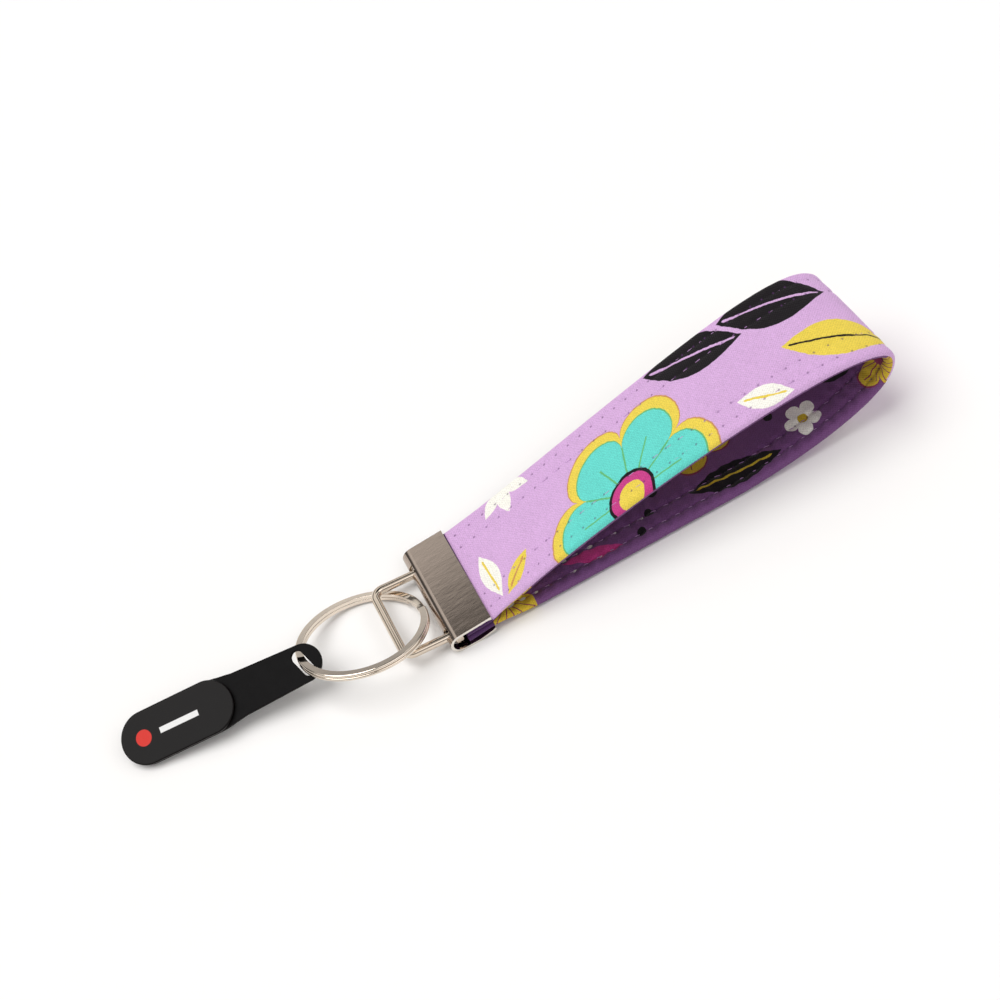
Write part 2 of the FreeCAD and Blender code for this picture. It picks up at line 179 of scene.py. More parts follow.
def inward(points):
    """Unit vectors from the outer side into the band, in the x-z plane."""
    slope = np.gradient(points, axis=0)
    slope /= np.linalg.norm(slope, axis=2, keepdims=True)
    return np.stack([slope[..., 1], -slope[..., 0]], axis=-1)


def thickness_at(distance, total):
    """The band's thickness: squeezed in the clamp, full a little way out of it."""
    out = np.minimum(distance, total - distance)
    ease = np.clip(out / TAPER_LENGTH, 0, 1)
    ease = ease * ease * (3 - 2 * ease)
    swell = TAIL_SWELL * np.clip(-out / (MOUTH_X - TAIL_X), 0, 1)
    return END_THICKNESS + (STRAP_THICKNESS - END_THICKNESS) * ease + swell


def relief(height, inner):
    """A height of the relief on a face; inner is nought outside the loop and one inside it."""
    outer_height, added_inside = height
    return outer_height + added_inside * inner


def puckers(distance, across, inner):
    """How far the sewn fabric stands out of the plain band: seam grooves, pillows and ripples.

    The long waves come back into step only beyond the band's length, so they don't repeat on it.
    """
    height = np.zeros(np.broadcast(distance, across).shape)
    wave = np.sin(distance * 0.83 + 2 * np.sin(distance * 0.19)) * np.sin(distance * 0.37 + 1.3)
    for inset in SEAM_ROWS:
        for side in (-1, 1):
            offset = across - side * (STRAP_WIDTH / 2 - inset)
            height = height - relief(GROOVE_DEPTH, inner) * np.exp(-((offset / GROOVE_WIDTH) ** 2))
            ripple = np.sin(distance * 2 * math.pi / STITCH_PITCH + side + inset)
            beside = (np.exp(-((offset - PUCKER_OFFSET) / PUCKER_WIDTH) ** 2)
                      + np.exp(-((offset + PUCKER_OFFSET) / PUCKER_WIDTH) ** 2))
            height = height + relief(PUCKER_HEIGHT, inner) * ripple * beside
    fade = np.exp(-((across / RIPPLE_REACH) ** 4))
    height = height + relief(RIPPLE_HEIGHT, inner) * wave * fade
    slow = (np.sin(distance * 0.11 + 0.6) * np.cos(across * 0.17)
            + np.sin(distance * 0.053 + across * 0.11))
    return height + SWELL_HEIGHT * slow


def band_columns():
    """Columns round the band's section: across, share of depth, which face, and cloth distance."""
    flat = STRAP_WIDTH / 2 - EDGE_ROUND
    face = np.linspace(-flat, flat, FABRIC_COLUMNS)
    turn = np.linspace(0, math.pi, ARC_COLUMNS + 2)[1:-1]
    edge = flat + EDGE_ROUND * np.sin(turn)
    depth = (1 - np.cos(turn)) / 2
    cloth = flat + EDGE_ROUND * np.minimum(turn, math.pi - turn)
    across = np.concatenate([face, edge, face[::-1], -edge[::-1]])
    share = np.concatenate([0 * face, depth, 0 * face + 1, depth[::-1]])
    inner = (share > 0.5).astype(float)
    cloth_across = np.concatenate([face, cloth, face[::-1], -cloth[::-1]])
    return across, share, inner, cloth_across


def grid_mesh(name, points):
    """A tube from (station, column, xyz) points, closed round each station and at both ends."""
    rows, columns = points.shape[:2]
    index = np.arange(rows * columns).reshape(rows, columns)
    after = np.roll(index, -1, axis=1)
    quads = np.stack([index[:-1], index[1:], after[1:], after[:-1]], axis=-1).reshape(-1, 4)
    faces = quads.tolist()
    faces.append(index[0].tolist())
    faces.append(index[-1][::-1].tolist())
    mesh = bpy.data.meshes.new(name)
    mesh.from_pydata(points.reshape(-1, 3).tolist(), [], faces)
    mesh.validate()
    smooth(mesh)
    piece = bpy.data.objects.new(name, mesh)
    bpy.context.scene.collection.objects.link(piece)
    return piece


def smooth(mesh, angle=SMOOTHING):
    """Smooth shading, with edges sharper than the angle kept crisp."""
    work = bmesh.new()
    work.from_mesh(mesh)
    bmesh.ops.recalc_face_normals(work, faces=work.faces)
    for face in work.faces:
        face.smooth = True
    for edge in work.edges:
        edge.smooth = len(edge.link_faces) == 2 and edge.calc_face_angle(0) < angle
    work.to_mesh(mesh)
    work.free()


def store(mesh, name, values):
    """Keep one vector per vertex for the material."""
    attribute = mesh.attributes.new(name, "FLOAT_VECTOR", "POINT")
    attribute.data.foreach_set("vector", np.ascontiguousarray(values, np.float32).ravel())


def make_strap():
    across, share, inner, cloth_across = band_columns()
    distance, path = outer_path(across / STRAP_WIDTH + 0.5)
    total = distance[-1] - (MOUTH_X - TAIL_X)
    thick = thickness_at(distance, total)[:, None]
    raised = puckers(distance[:, None], across[None], inner[None])
    out_of_clamp = np.clip(np.minimum(distance, total - distance) / RELIEF_EASE, 0, 1)[:, None]
    depth = share[None] * thick - raised * out_of_clamp * (1 - 2 * share[None])
    flat = path + inward(path) * depth[..., None]
    points = np.stack([flat[..., 0], np.broadcast_to(across, depth.shape), flat[..., 1]], axis=-1)
    points[..., 2] = np.maximum(points[..., 2], FLOOR_CLEARANCE)
    piece = grid_mesh("strap_fabric", points * MM)
    # the lower run's near folded edge takes the purple side's darker print as painted shade under
    # the upper run
    near_edge = (across < -STRAP_WIDTH / 2 + EDGE_ROUND) & (np.abs(cloth_across) > np.abs(across))
    lower_run = distance > total * LOWER_RUN_SHARE
    side = np.maximum(inner[None], lower_run[:, None] * near_edge[None])
    cloth = np.stack(np.broadcast_arrays(distance[:, None], cloth_across[None], side), axis=-1)
    store(piece.data, "cloth", cloth.reshape(-1, 3))
    return piece, total


def stitch_rows():
    """Each row of topstitching: its place across the band and the face that it lies on."""
    for inset in SEAM_ROWS:
        for side in (-1, 1):
            for inner in (0, 1):
                yield side * (STRAP_WIDTH / 2 - inset), inner


def sample(places, distance, values):
    """The columns of values that are known at each distance, read off at the given places."""
    return np.stack([np.interp(places, distance, column) for column in values.T], axis=-1)


def add_thread(vertices, faces, centreline, out, girth, across):
    """One stitch: a thread along its centreline, closed at both ends."""
    start = len(vertices)
    spokes = np.linspace(0, 2 * math.pi, THREAD_SPOKES + 1)[:-1]
    for (x, z), (nx, nz), radius in zip(centreline, out, girth):
        for spoke in spokes:
            up = math.cos(spoke) * radius
            vertices.append((x + nx * up, across + math.sin(spoke) * radius, z + nz * up))
    for ring in range(len(centreline) - 1):
        for spoke in range(THREAD_SPOKES):
            a = start + ring * THREAD_SPOKES + spoke
            b = start + ring * THREAD_SPOKES + (spoke + 1) % THREAD_SPOKES
            faces.append((a, b, b + THREAD_SPOKES, a + THREAD_SPOKES))
    faces.append(tuple(range(start, start + THREAD_SPOKES)))
    faces.append(tuple(range(len(vertices) - THREAD_SPOKES, len(vertices)))[::-1])


def make_stitches(total):
    """Every stitch of the topstitching, as a short thread sunk into its groove."""
    rings = np.linspace(-1, 1, THREAD_RINGS)[1:-1]
    girth = THREAD_RADIUS * (1 - np.abs(rings) ** 5) ** 0.5
    sink = -THREAD_SINK - THREAD_DIVE * rings**4
    count = int((total - 2 * STITCH_MARGIN) / STITCH_PITCH)
    vertices = []
    faces = []
    for across, inner in stitch_rows():
        distance, path = outer_path([across / STRAP_WIDTH + 0.5])
        normal = inward(path)[:, 0] * (1 if inner else -1)
        surface = puckers(distance, np.full_like(distance, across), inner)
        surface = surface + thickness_at(distance, total) * inner
        for number in range(count):
            centre = STITCH_MARGIN + STITCH_PITCH * (number + 0.5)
            places = centre + rings * STITCH_LENGTH / 2
            out = sample(places, distance, normal)
            out /= np.linalg.norm(out, axis=1, keepdims=True)
            rise = sample(places, distance, surface[:, None])[:, 0] + sink
            centreline = sample(places, distance, path[:, 0]) + out * rise[:, None]
            add_thread(vertices, faces, centreline, out, girth, across)
    mesh = bpy.data.meshes.new("topstitching")
    mesh.from_pydata((np.array(vertices) * MM).tolist(), [], faces)
    smooth(mesh, THREAD_SMOOTHING)
    piece = bpy.data.objects.new("topstitching", mesh)
    bpy.context.scene.collection.objects.link(piece)
    return piece


# ---------------------------------------------------------------- rigid pieces
MERGE_DISTANCE = 0.002
FLAT_ANGLE = math.radians(0.5)  # faces that turn less than this become one
BEVEL_ANGLE = math.radians(30)  # edges sharper than this are rounded


def refined_copy(node, name, bevel):
    """A finer piece with a CAD node's shape: its sharp edges are rounded as on the real thing."""
    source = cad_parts[node]
    mesh = source.data.copy()
    mesh.name = name
    piece = bpy.data.objects.new(name, mesh)
    bpy.context.scene.collection.objects.link(piece)
    mesh.materials.clear()
    work = bmesh.new()
    work.from_mesh(mesh)
    bmesh.ops.remove_doubles(work, verts=work.verts, dist=MERGE_DISTANCE * MM)
    bmesh.ops.dissolve_limit(work, angle_limit=FLAT_ANGLE, verts=work.verts, edges=work.edges)
    work.to_mesh(mesh)
    work.free()
    if mesh.attributes.get("custom_normal"):
        mesh.attributes.remove(mesh.attributes["custom_normal"])
    if bevel:
        modifier = piece.modifiers.new("edge", "BEVEL")
        modifier.width = bevel * MM
        modifier.segments = 3
        modifier.limit_method = "ANGLE"
        modifier.angle_limit = BEVEL_ANGLE
        apply_modifiers(piece)
    smooth(piece.data)
    level = piece.modifiers.new("level", "WEIGHTED_NORMAL")
    level.keep_sharp = True
    apply_modifiers(piece)
    return piece


def apply_modifiers(piece):
    graph = bpy.context.evaluated_depsgraph_get()
    mesh = bpy.data.meshes.new_from_object(piece.evaluated_get(graph))
    piece.modifiers.clear()
    piece.data = mesh


def principal_frame(piece):
    """A thin piece's own axes: along, across and out of its face, with its centre."""
    points = np.array([vertex.co for vertex in piece.data.vertices])
    centre = (points.max(axis=0) + points.min(axis=0)) / 2
    middle = points.mean(axis=0)
    _, _, axes = np.linalg.svd(points - middle, full_matrices=False)
    along, across, face = axes
    along = along * (1 if along[0] > 0 else -1)
    face = face * (1 if face[2] > 0 else -1)
    return centre, along, np.cross(face, along), face


def store_local(piece, origin, axes):
    """Keep each vertex's place in a piece's own axes, in millimetres, for its material."""
    points = np.array([vertex.co for vertex in piece.data.vertices])
    store(piece.data, "local", (points - origin) @ np.array(axes).T / MM)


# ---------------------------------------------------------------- material building
def linear(red, green, blue):
    """A screen colour, 0 to 255, as the linear colour that shaders take."""
    values = [value / 255 for value in (red, green, blue)]
    curved = [v / 12.92 if v <= 0.04045 else ((v + 0.055) / 1.055) ** 2.4 for v in values]
    return (*curved, 1.0)


class Field:
    """A number that varies over a surface: an output socket of a shader node."""

    def __init__(self, tree, socket):
        self.tree = tree
        self.socket = socket

    def do(self, operation, *others, clamp=False):
        node = self.tree.nodes.new("ShaderNodeMath")
        node.operation = operation
        node.use_clamp = clamp
        for index, value in enumerate((self,) + others):
            if isinstance(value, Field):
                self.tree.links.new(value.socket, node.inputs[index])
            else:
                node.inputs[index].default_value = value
        return Field(self.tree, node.outputs[0])

    def __add__(self, other):
        return self.do("ADD", other)

    def __sub__(self, other):
        return self.do("SUBTRACT", other)

    def __mul__(self, other):
        return self.do("MULTIPLY", other)

    def __truediv__(self, other):
        return self.do("DIVIDE", other)

    def __abs__(self):
        return self.do("ABSOLUTE")

    def __pow__(self, other):
        return self.do("POWER", other)

    def most(self, other):
        return self.do("MAXIMUM", other)

    def wrap(self, low, high):
        return self.do("WRAP", high, low)

    def sine(self):
        return self.do("SINE")

    def cosine(self):
        return self.do("COSINE")

    def below(self, limit=0.0, soft=0.14):
        """One where the field is below the limit and nought above, over a soft edge."""
        return (self - limit).do("MULTIPLY_ADD", -1 / soft, 0.5, clamp=True)


class Paint:
    """A material under construction: its nodes, its shader and a colour that shapes cover."""

    def __init__(self, name):
        self.material = bpy.data.materials.new(name)
        self.material.use_nodes = True
        self.tree = self.material.node_tree
        self.shader = self.tree.nodes["Principled BSDF"]
        self.colour = None

    def node(self, kind, **settings):
        node = self.tree.nodes.new(kind)
        for key, value in settings.items():
            setattr(node, key, value)
        return node

    def attribute(self, name):
        """The three parts of a vector stored on the mesh."""
        source = self.node("ShaderNodeAttribute", attribute_name=name)
        split = self.node("ShaderNodeSeparateXYZ")
        self.tree.links.new(source.outputs["Vector"], split.inputs[0])
        return [Field(self.tree, output) for output in split.outputs]

    def vector(self, x, y):
        """Two fields as one vector."""
        joined = self.node("ShaderNodeCombineXYZ")
        self.tree.links.new(x.socket, joined.inputs[0])
        self.tree.links.new(y.socket, joined.inputs[1])
        return joined.outputs[0]

    def noise(self, vector, scale, detail=2.0, roughness=0.5):
        texture = self.node("ShaderNodeTexNoise")
        self.tree.links.new(vector, texture.inputs["Vector"])
        texture.inputs["Scale"].default_value = scale
        texture.inputs["Detail"].default_value = detail
        texture.inputs["Roughness"].default_value = roughness
        return Field(self.tree, texture.outputs["Fac"])

    def position(self):
        return self.node("ShaderNodeTexCoord").outputs["Object"]

    def ground(self, colour):
        start = self.node("ShaderNodeRGB")
        start.outputs[0].default_value = colour
        self.colour = start.outputs[0]

    def cover(self, colour, mask):
        """Lay a colour, or another colour socket, over what is painted so far."""
        mixer = self.node("ShaderNodeMix", data_type="RGBA")
        self.tree.links.new(mask.socket, mixer.inputs[0])
        self.tree.links.new(self.colour, mixer.inputs[6])
        if isinstance(colour, tuple):
            mixer.inputs[7].default_value = colour
        else:
            self.tree.links.new(colour, mixer.inputs[7])
        self.colour = mixer.outputs[2]

    def shade(self, factor):
        """Darken or lighten what is painted so far by a field."""
        scale = self.node("ShaderNodeVectorMath", operation="SCALE")
        self.tree.links.new(self.colour, scale.inputs[0])
        self.tree.links.new(factor.socket, scale.inputs["Scale"])
        self.colour = scale.outputs[0]

    def bump(self, height, distance, strength):
        """Fine relief in the surface; distance is its depth in millimetres."""
        node = self.node("ShaderNodeBump")
        node.inputs["Distance"].default_value = distance * MM
        node.inputs["Strength"].default_value = strength
        self.tree.links.new(height.socket, node.inputs["Height"])
        self.tree.links.new(node.outputs[0], self.shader.inputs["Normal"])

    def finish(self, roughness, **constants):
        """Join colour and roughness to the shader; constants are its own socket values."""
        self.tree.links.new(self.colour, self.shader.inputs["Base Color"])
        if isinstance(roughness, Field):
            self.tree.links.new(roughness.socket, self.shader.inputs["Roughness"])
        else:
            self.shader.inputs["Roughness"].default_value = roughness
        for key, value in constants.items():
            self.shader.inputs[key.replace("_", " ")].default_value = value
        return self.material


# ---------------------------------------------------------------- the floral print
LILAC = linear(204, 165, 210)
# the purple side's own ground, made darker as painted shade for the shaded inside of the loop
PURPLE_AND_SHADE = linear(110, 70, 118)
# dark purple painted as the shade inside the clamp
INSIDE_CLAMP_SHADE = linear(78, 48, 92)
BLACK = linear(24, 20, 24)
TURQUOISE = linear(98, 206, 196)
GREEN = linear(96, 176, 112)
YELLOW = linear(224, 200, 78)
OLIVE = linear(196, 168, 50)
BROWN = linear(196, 142, 84)
CREAM = linear(236, 234, 226)
MAGENTA = linear(190, 60, 130)
MAROON = linear(122, 46, 78)
HOLE_SHADE = linear(84, 48, 96)

OUTER_REPEAT = 128.0  # length of the lilac side's print before it repeats, turned over
INNER_START = 118.0  # the purple side's print covers the band from here
INNER_END = 232.0
WEAVE_PITCH = 0.8
NEEDLE_HOLE = 0.26  # radius of the painted shade dot in the dimple that a needle leaves
NEEDLE_BLUR = 0.3


def polar(x, y):
    """Radius and angle about the origin."""
    radius = (x * x + y * y).do("SQRT")
    return radius, y.do("ARCTAN2", x)


def disc(x, y, centre, radius):
    """Signed distance to a disc."""
    dx = x - centre[0]
    dy = y - centre[1]
    return (dx * dx + dy * dy).do("SQRT") - radius


def leaf(x, y, base, heading, length, half_width):
    """Signed distance, roughly, to a pointed leaf that starts at its base, with its long axis."""
    angle = math.radians(heading)
    dx = x - base[0]
    dy = y - base[1]
    along = dx * math.cos(angle) + dy * math.sin(angle)
    side = abs(dy * math.cos(angle) - dx * math.sin(angle))
    share = (along / length).do("ADD", 0.0, clamp=True)
    bulge = (share * math.pi).sine() * half_width
    beyond = (along * -1.0).most(along - length)
    return (side - bulge).most(beyond), along, side


def paint_flower(paint, x, y, petals=6, radius=21.0):
    """A plain flower: round petals with a border and short veins, about a ringed centre."""
    r, angle = polar(x, y)
    lobes = abs((angle * (petals / 2)).cosine()) ** 0.5
    edge = r - (lobes * (radius * 0.36) + radius * 0.64)
    paint.cover(BROWN, edge.below(3.6))
    paint.cover(YELLOW, edge.below(3.2))
    paint.cover(GREEN, edge.below(0.3))
    paint.cover(TURQUOISE, edge.below(-0.1))
    veins = abs((angle * petals).sine()) * r * 0.16
    paint.cover(GREEN, veins.most(r - 14.0).below(0.22))
    paint.cover(BLACK, r.below(6.6))
    paint.cover(MAGENTA, r.below(5.8))
    paint.cover(YELLOW, r.below(3.6))


def paint_plain_leaf(paint, s, t, place, colour, midrib):
    """A pointed leaf with a straight midrib; place is its base, heading, length and half width."""
    shape, along, side = leaf(s, t, *place)
    paint.cover(colour, shape.below(0.0))
    paint.cover(midrib, side.most(shape + 1.4).below(0.3))


def paint_outer_print(paint, s, t):
    """The lilac side: large flowers and sprays of plain leaves.

    s runs along the band from the clamp and t across it, both in millimetres.
    """
    t = t * ((s / OUTER_REPEAT).do("FLOOR") * -2.0 + 1.0)
    s = s.wrap(0.0, OUTER_REPEAT)
    for base, heading, length, width in (
        ((60.0, 14.5), -14, 30, 5.6),
        ((84.0, 14.0), -12, 31, 6.8),
    ):
        paint_plain_leaf(paint, s, t, (base, heading, length, width), BLACK, LILAC)
    paint_flower(paint, s - 50.0, t + 14.0)
    paint_plain_leaf(paint, s, t, ((96.0, -2.5), -20, 27, 5.6), YELLOW, BLACK)
    paint_plain_leaf(paint, s, t, ((81.0, -9.5), -24, 14, 3.2), CREAM, YELLOW)
    paint_plain_leaf(paint, s, t, ((7.0, -13.0), 98, 15.0, 2.9), CREAM, YELLOW)
    paint_plain_leaf(paint, s, t, ((9.0, -14.0), 40, 12.0, 2.4), YELLOW, BROWN)
    for heading, length in ((-30, 9.0), (-82, 9.0), (-130, 8.0)):
        paint.cover(CREAM, leaf(s, t, (15.0, 16.4), heading, length, 1.8)[0].below(0.0))


def paint_veined_flower(paint, x, y, size):
    """An olive flower of five round petals with maroon veins and centre."""
    r, angle = polar(x, y)
    petals = r - (abs((angle * 2.5).cosine()) ** 0.5 * (size * 0.5) + size * 0.42)
    paint.cover(MAROON, petals.below(0.35))
    paint.cover(OLIVE, petals.below(-0.2))
    veins = abs((angle * 7.5).sine()) * r * 0.3
    paint.cover(MAROON, veins.most(petals + 1.6).below(0.3))
    paint.cover(MAROON, r.below(size * 0.16))


def paint_inner_print(paint, s, t):
    """The purple side, its ground darkened as painted shade inside the loop: olive flowers, black
    leaves and scattered dots.
    """
    s = s.wrap(INNER_START, INNER_END)
    for centre, size in (((178.0, 7.0), 13.0), ((140.0, 8.0), 11.0), ((125.0, -12.0), 10.0)):
        paint_veined_flower(paint, s - centre[0], t - centre[1], size)
    for base, heading, length, width in (
        ((129.0, -6.0), 24, 17, 3.6),
        ((160.0, -12.0), 6, 26, 3.8),
        ((205.0, 9.0), -24, 18, 3.4),
    ):
        paint_plain_leaf(paint, s, t, (base, heading, length, width), BLACK, OLIVE)
    small_r, small_angle = polar(s - 151.0, t + 8.0)
    small = small_r - (abs((small_angle * 2.5).cosine()) ** 0.5 * 2.4 + 2.6)
    paint.cover(CREAM, small.below(0.0))
    paint.cover(OLIVE, small_r.below(1.3))
    for centre in ((157.5, -1.5), (160.0, 4.0), (193.0, -3.5), (196.5, -8.5), (200.5, -12.5)):
        paint.cover(BLACK, disc(s, t, centre, 1.2).below(0.0))
    paint.cover(MAGENTA, leaf(s, t, (206.0, -13.0), 12, 16, 1.8)[0].below(0.0))


def weave_height(paint, s, t):
    """Plain weave: each warp thread passes over and under each weft thread."""
    turn = 2 * math.pi / WEAVE_PITCH
    wander = paint.noise(paint.vector(s, t), 1.1, 2.0) * 0.7
    warp = ((s + wander) * turn).sine()
    weft = ((t + wander) * turn).sine()
    return warp * weft * 0.5 + 0.5


def fabric_material(total):
    paint = Paint("printed_cotton")
    s, t, face = paint.attribute("cloth")
    wobble = paint.noise(paint.vector(s, t), 0.9, 1.0)
    drift = wobble * 0.3 - 0.15
    edge_s = s + drift
    edge_t = t + drift
    paint.ground(LILAC)
    paint_outer_print(paint, edge_s, edge_t)
    outer_colour = paint.colour
    paint.ground(PURPLE_AND_SHADE)
    paint_inner_print(paint, edge_s, edge_t)
    # the mask covers the inner face and, as painted shade, the lower run's near edge
    inner_and_edge_shade_mask = face.do("GREATER_THAN", 0.5)
    inner_colour = paint.colour
    paint.colour = outer_colour
    paint.cover(inner_colour, inner_and_edge_shade_mask)
    # painted shade: the band is dark purple where it runs inside the clamp
    tails = (s * -1.0).most(s - total) * -1.0
    paint.cover(INSIDE_CLAMP_SHADE, tails.below(0.2))
    weave = weave_height(paint, s, t)
    threads = paint.noise(paint.vector(s * 0.35, t * 2.2), 1.6, 2.0)
    picks = paint.noise(paint.vector(s * 2.2, t * 0.35), 1.6, 2.0)
    fleck = paint.noise(paint.vector(s, t), 3.4, 2.0)
    cloudy = paint.noise(paint.vector(s, t), 0.12, 2.0)
    tone = weave * 0.22 + threads * 0.26 + picks * 0.26 + fleck * 0.50 + cloudy * 0.10 + 0.36
    paint.shade(tone)
    # painted shade in the needle holes at the stitches' ends
    paint.cover(HOLE_SHADE, needle_hole_shade(s, t) * 0.7)
    height = weave * 0.6 + threads * 0.25 + picks * 0.25 + fleck * 0.25
    paint.bump(height, 0.16, 0.9)
    return paint.finish(0.9, Sheen_Weight=0.12, Sheen_Roughness=0.45, Specular_IOR_Level=0.2)


def needle_hole_shade(s, t):
    """Painted shade: a small dark dot in the dimple at each end of every stitch."""
    phase = (s - STITCH_MARGIN).wrap(-STITCH_PITCH / 2, STITCH_PITCH / 2)
    marks = None
    for inset in SEAM_ROWS:
        offset = abs(t) - (STRAP_WIDTH / 2 - inset)
        spot = (phase * phase + offset * offset).do("SQRT").below(NEEDLE_HOLE, NEEDLE_BLUR)
        marks = spot if marks is None else marks.most(spot)
    return marks


def thread_material():
    paint = Paint("thread")
    twist = paint.noise(paint.position(), 2600.0, 2.0)
    paint.ground(linear(182, 138, 192))
    paint.shade(twist * 0.5 + 0.7)
    paint.bump(twist, 0.05, 0.6)
    return paint.finish(0.65, Sheen_Weight=0.3)


def webbing_material():
    paint = Paint("core_webbing")
    weave = paint.noise(paint.position(), 1500.0, 3.0)
    paint.ground(linear(224, 222, 214))
    paint.shade(weave * 0.4 + 0.75)
    paint.bump(weave, 0.1, 0.6)
    return paint.finish(0.9)


# ---------------------------------------------------------------- metal and tag materials
def metal_material(name, colour, roughness, grain, streaks=(1.0, 1.0, 1.0)):
    """Plated metal: faint tarnish clouds, fine scratches and a rougher, duller plate in places."""
    paint = Paint(name)
    place = paint.position()
    stretch = paint.node("ShaderNodeVectorMath", operation="MULTIPLY")
    paint.tree.links.new(place, stretch.inputs[0])
    stretch.inputs[1].default_value = streaks
    clouds = paint.noise(place, 160.0, 3.0)
    scratches = paint.noise(stretch.outputs[0], 900.0, 3.0, 0.6)
    paint.ground(colour)
    paint.shade(clouds * 0.22 + scratches * 0.12 + 0.83)
    paint.bump(scratches * 0.5 + clouds * 0.5, grain, 0.5)
    rough = clouds * (roughness * 0.5) + scratches * (roughness * 0.4) + roughness * 0.6
    return paint.finish(rough, Metallic=1.0)


# the marks on the tag's face, in millimetres from its centre
SPOT_CENTRE = (-9.4, 0.0)
SPOT_RADIUS = 2.1
BAR_CENTRE = 0.6
BAR_HALF_LENGTH = 5.4
BAR_HALF_WIDTH = 0.75
MARK_BLUR = 0.1


def tag_strap_material():
    paint = Paint("tag_rubber")
    grain = paint.noise(paint.position(), 2400.0, 3.0, 0.6)
    dust = paint.noise(paint.position(), 500.0, 4.0, 0.7)
    paint.ground(linear(9, 8, 9))
    paint.shade(grain * 0.5 + dust * 0.5 + 0.5)
    paint.bump(grain, 0.06, 0.6)
    return paint.finish(dust * 0.2 + 0.6, Specular_IOR_Level=0.14)


def tag_face_material():
    """Glossy black with a plain round spot and a plain bar printed under the gloss."""
    paint = Paint("tag_gloss")
    x, y, _ = paint.attribute("local")
    smear = paint.noise(paint.position(), 130.0, 3.0)
    paint.ground(linear(8, 5, 5))
    paint.shade(smear * 0.6 + 0.7)
    spot = disc(x, y, SPOT_CENTRE, SPOT_RADIUS)
    paint.cover(linear(206, 52, 44), spot.below(0.0, MARK_BLUR))
    bar = (abs(x - BAR_CENTRE) - BAR_HALF_LENGTH).most(abs(y) - BAR_HALF_WIDTH)
    paint.cover(linear(226, 226, 226), bar.below(0.0, MARK_BLUR))
    paint.bump(smear, 0.02, 0.3)
    return paint.finish(smear * 0.12 + 0.16, Specular_IOR_Level=0.1)


def adhesive_material():
    paint = Paint("adhesive")
    grain = paint.noise(paint.position(), 900.0, 2.0)
    paint.ground(linear(60, 58, 58))
    paint.shade(grain * 0.5 + 0.7)
    return paint.finish(0.6)


# ---------------------------------------------------------------- build the pieces
def dress(piece, body, node, material):
    """Give a new piece its material and its body, and hide the CAD node that it stands for."""
    piece.data.materials.clear()
    piece.data.materials.append(material)
    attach(piece, body)
    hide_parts(node)


def build_strap():
    fabric, total = make_strap()
    stitches = make_stitches(total)
    dress(fabric, "root", "strap_cover", fabric_material(total))
    dress(stitches, "root", "topstitch_thread", thread_material())
    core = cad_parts["strap_core"]
    core.data.materials.clear()
    core.data.materials.append(webbing_material())
    whole = total + 2 * (MOUTH_X - TAIL_X)
    whole * MM


def build_clamp():
    clamp = refined_copy("clamp_shell", "clamp_plate", 0.16)
    satin = metal_material("clamp_metal", linear(176, 162, 151), 0.11, 0.03, (0.25, 1.0, 1.0))
    dress(clamp, "root", "clamp_shell", satin)
    # the cut edges are brighter: bare metal, and partly a painted highlight for the bright line
    # along them
    clamp.data.materials.append(
        metal_material("clamp_cut_edge_and_highlight", linear(226, 220, 212), 0.16, 0.02))
    for face in clamp.data.polygons:
        face.material_index = int(abs(face.normal.y) > CUT_EDGE_FACING)


def build_bail():
    bail = refined_copy("wire_bail", "bail_rod", 0.2)
    bright = metal_material("wire_metal", linear(218, 204, 188), 0.05, 0.008)
    dress(bail, "bail", "wire_bail", bright)


def build_ring():
    ring = refined_copy("split_ring", "ring_coils", 0.38)
    bright = metal_material("ring_metal", linear(224, 212, 198), 0.05, 0.008)
    dress(ring, "ring", "split_ring", bright)


def build_tag():
    paddle = refined_copy("tag_strap", "tag_paddle", 0.22)
    face = refined_copy("tag_plate", "tag_face", 0.0)
    centre, along, across, out = principal_frame(face)
    store_local(face, centre, (along, across, out))
    dress(paddle, "tag", "tag_strap", tag_strap_material())
    dress(face, "tag", "tag_plate", tag_face_material())
    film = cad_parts["tag_adhesive"]
    film.data.materials.clear()
    film.data.materials.append(adhesive_material())


# ---------------------------------------------------------------- stage, light and camera
FLOOR_REACH = 3.0  # the floor's half side, in metres


def make_floor():
    mesh = bpy.data.meshes.new("floor")
    signs = ((-1, -1), (1, -1), (1, 1), (-1, 1))
    corners = [(x * FLOOR_REACH, y * FLOOR_REACH, 0) for x, y in signs]
    mesh.from_pydata(corners, [], [(0, 1, 2, 3)])
    floor = bpy.data.objects.new("floor", mesh)
    bpy.context.scene.collection.objects.link(floor)
    material = bpy.data.materials.new("floor")
    material.use_nodes = True
    shader = material.node_tree.nodes["Principled BSDF"]
    shader.inputs["Base Color"].default_value = (0.9, 0.89, 0.885, 1)
    shader.inputs["Roughness"].default_value = 0.7
    shader.inputs["Specular IOR Level"].default_value = 0.0
    mesh.materials.append(material)


# the surroundings: brightness against the sine of the elevation; the metal reflects the dark steps
WORLD_STEPS = (
    (0.0, 0.95), (0.24, 0.95), (0.32, 0.13), (0.52, 0.13), (0.62, 0.95), (0.754, 0.95),
    (0.774, 0.04), (0.95, 0.04), (1.0, 0.5))


def soft_light(name, toward, spread, strength, colour):
    """A large, far light: it lights the whole floor evenly, with soft-edged shadows."""
    light = bpy.data.lights.new(name, "SUN")
    light.angle = math.radians(spread)
    light.energy = strength
    light.color = colour
    lamp = bpy.data.objects.new(name, light)
    bpy.context.scene.collection.objects.link(lamp)
    lamp.rotation_euler = Vector(toward).to_track_quat("Z", "Y").to_euler()


def make_light():
    """A key light from above on the left and a weaker fill from the front on the right."""
    soft_light("key", (-0.32, 0.14, 1.0), 53, 2.15, (1.0, 0.995, 0.985))
    soft_light("fill", (0.48, -0.5, 0.8), 46, 0.5, (1.0, 0.99, 0.98))


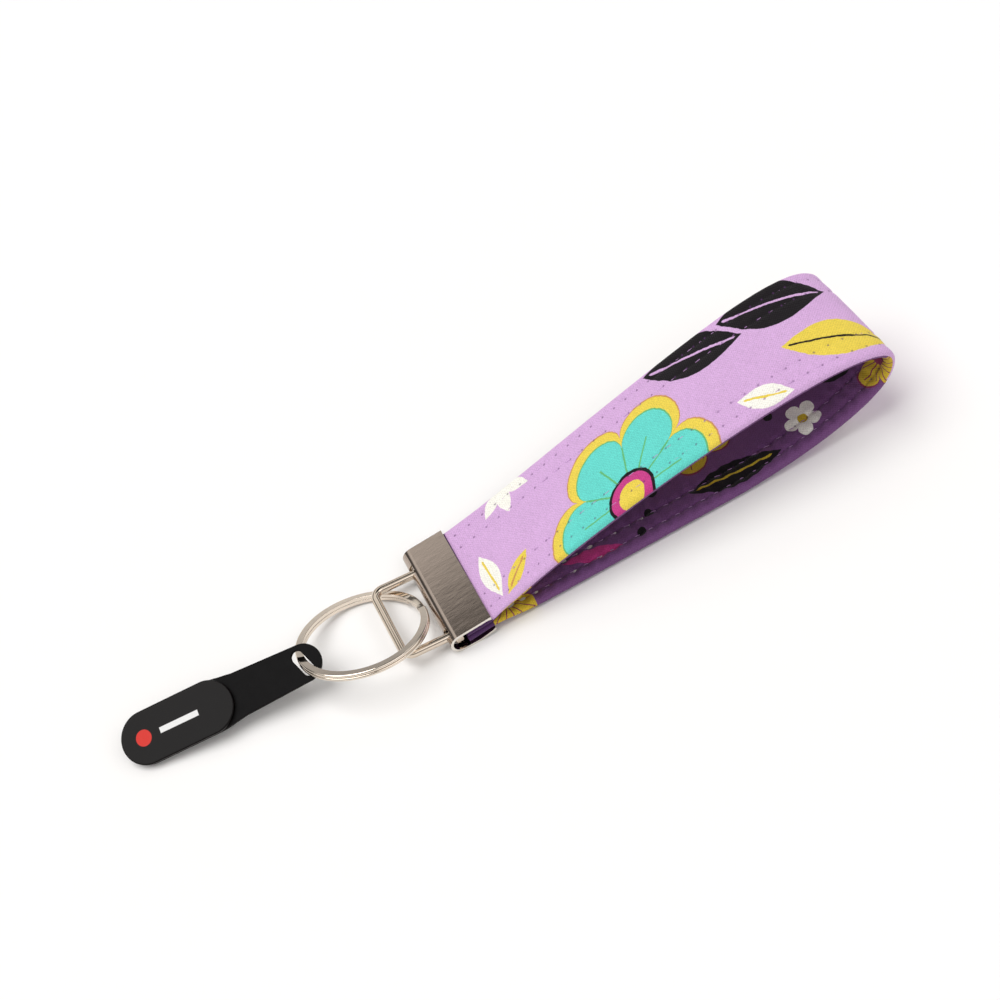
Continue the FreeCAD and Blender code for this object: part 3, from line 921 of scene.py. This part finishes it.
def make_world():
    """Plain, slightly warm surroundings in steps of brightness, and neutral colours."""
    world = bpy.data.worlds.new("studio")
    world.use_nodes = True
    tree = world.node_tree
    background = tree.nodes["Background"]
    background.inputs["Strength"].default_value = 1.0
    place = tree.nodes.new("ShaderNodeTexCoord")
    split = tree.nodes.new("ShaderNodeSeparateXYZ")
    ramp = tree.nodes.new("ShaderNodeValToRGB")
    tree.links.new(place.outputs["Generated"], split.inputs[0])
    tree.links.new(split.outputs["Z"], ramp.inputs[0])
    tree.links.new(ramp.outputs[0], background.inputs["Color"])
    elements = ramp.color_ramp.elements
    elements[0].position = WORLD_STEPS[0][0]
    elements[1].position = WORLD_STEPS[-1][0]
    for height, _ in WORLD_STEPS[1:-1]:
        elements.new(height)
    for element, (_, level) in zip(elements, WORLD_STEPS):
        element.color = (level, level * 0.985, level * 0.965, 1)
    bpy.context.scene.world = world
    view = bpy.context.scene.view_settings
    view.view_transform = "Standard"
    view.look = "None"


# the camera: where it looks from, around the point that it aims at
CAMERA_AZIMUTH = math.radians(-5.33)
CAMERA_ELEVATION = math.radians(48.55)
CAMERA_ROLL = math.radians(-24.54)
CAMERA_DISTANCE = 0.517
CAMERA_TARGET = (0.02343, 0.02127, 0.0)
LENS = 72.0  # millimetres, as is the sensor's width
SENSOR = 36.0


def make_camera():
    flat = math.cos(CAMERA_ELEVATION)
    back = Vector((math.sin(CAMERA_AZIMUTH) * flat, -math.cos(CAMERA_AZIMUTH) * flat,
                   math.sin(CAMERA_ELEVATION)))
    right = (-back).cross(Vector((0, 0, 1))).normalized()
    up = right.cross(-back)
    turned_right = right * math.cos(CAMERA_ROLL) + up * math.sin(CAMERA_ROLL)
    turned_up = up * math.cos(CAMERA_ROLL) - right * math.sin(CAMERA_ROLL)
    rotation = Matrix((turned_right, turned_up, back)).transposed()
    data = bpy.data.cameras.new("camera")
    data.lens = LENS
    data.sensor_width = SENSOR
    data.clip_start = 0.01
    camera = bpy.data.objects.new("camera", data)
    bpy.context.scene.collection.objects.link(camera)
    place = Vector(CAMERA_TARGET) + back * CAMERA_DISTANCE
    camera.matrix_world = Matrix.Translation(place) @ rotation.to_4x4()
    bpy.context.scene.camera = camera


build_clamp()
build_bail()
build_ring()
build_tag()
build_strap()
make_floor()
make_light()
make_world()
make_camera()


bpy.context.view_layer.update()
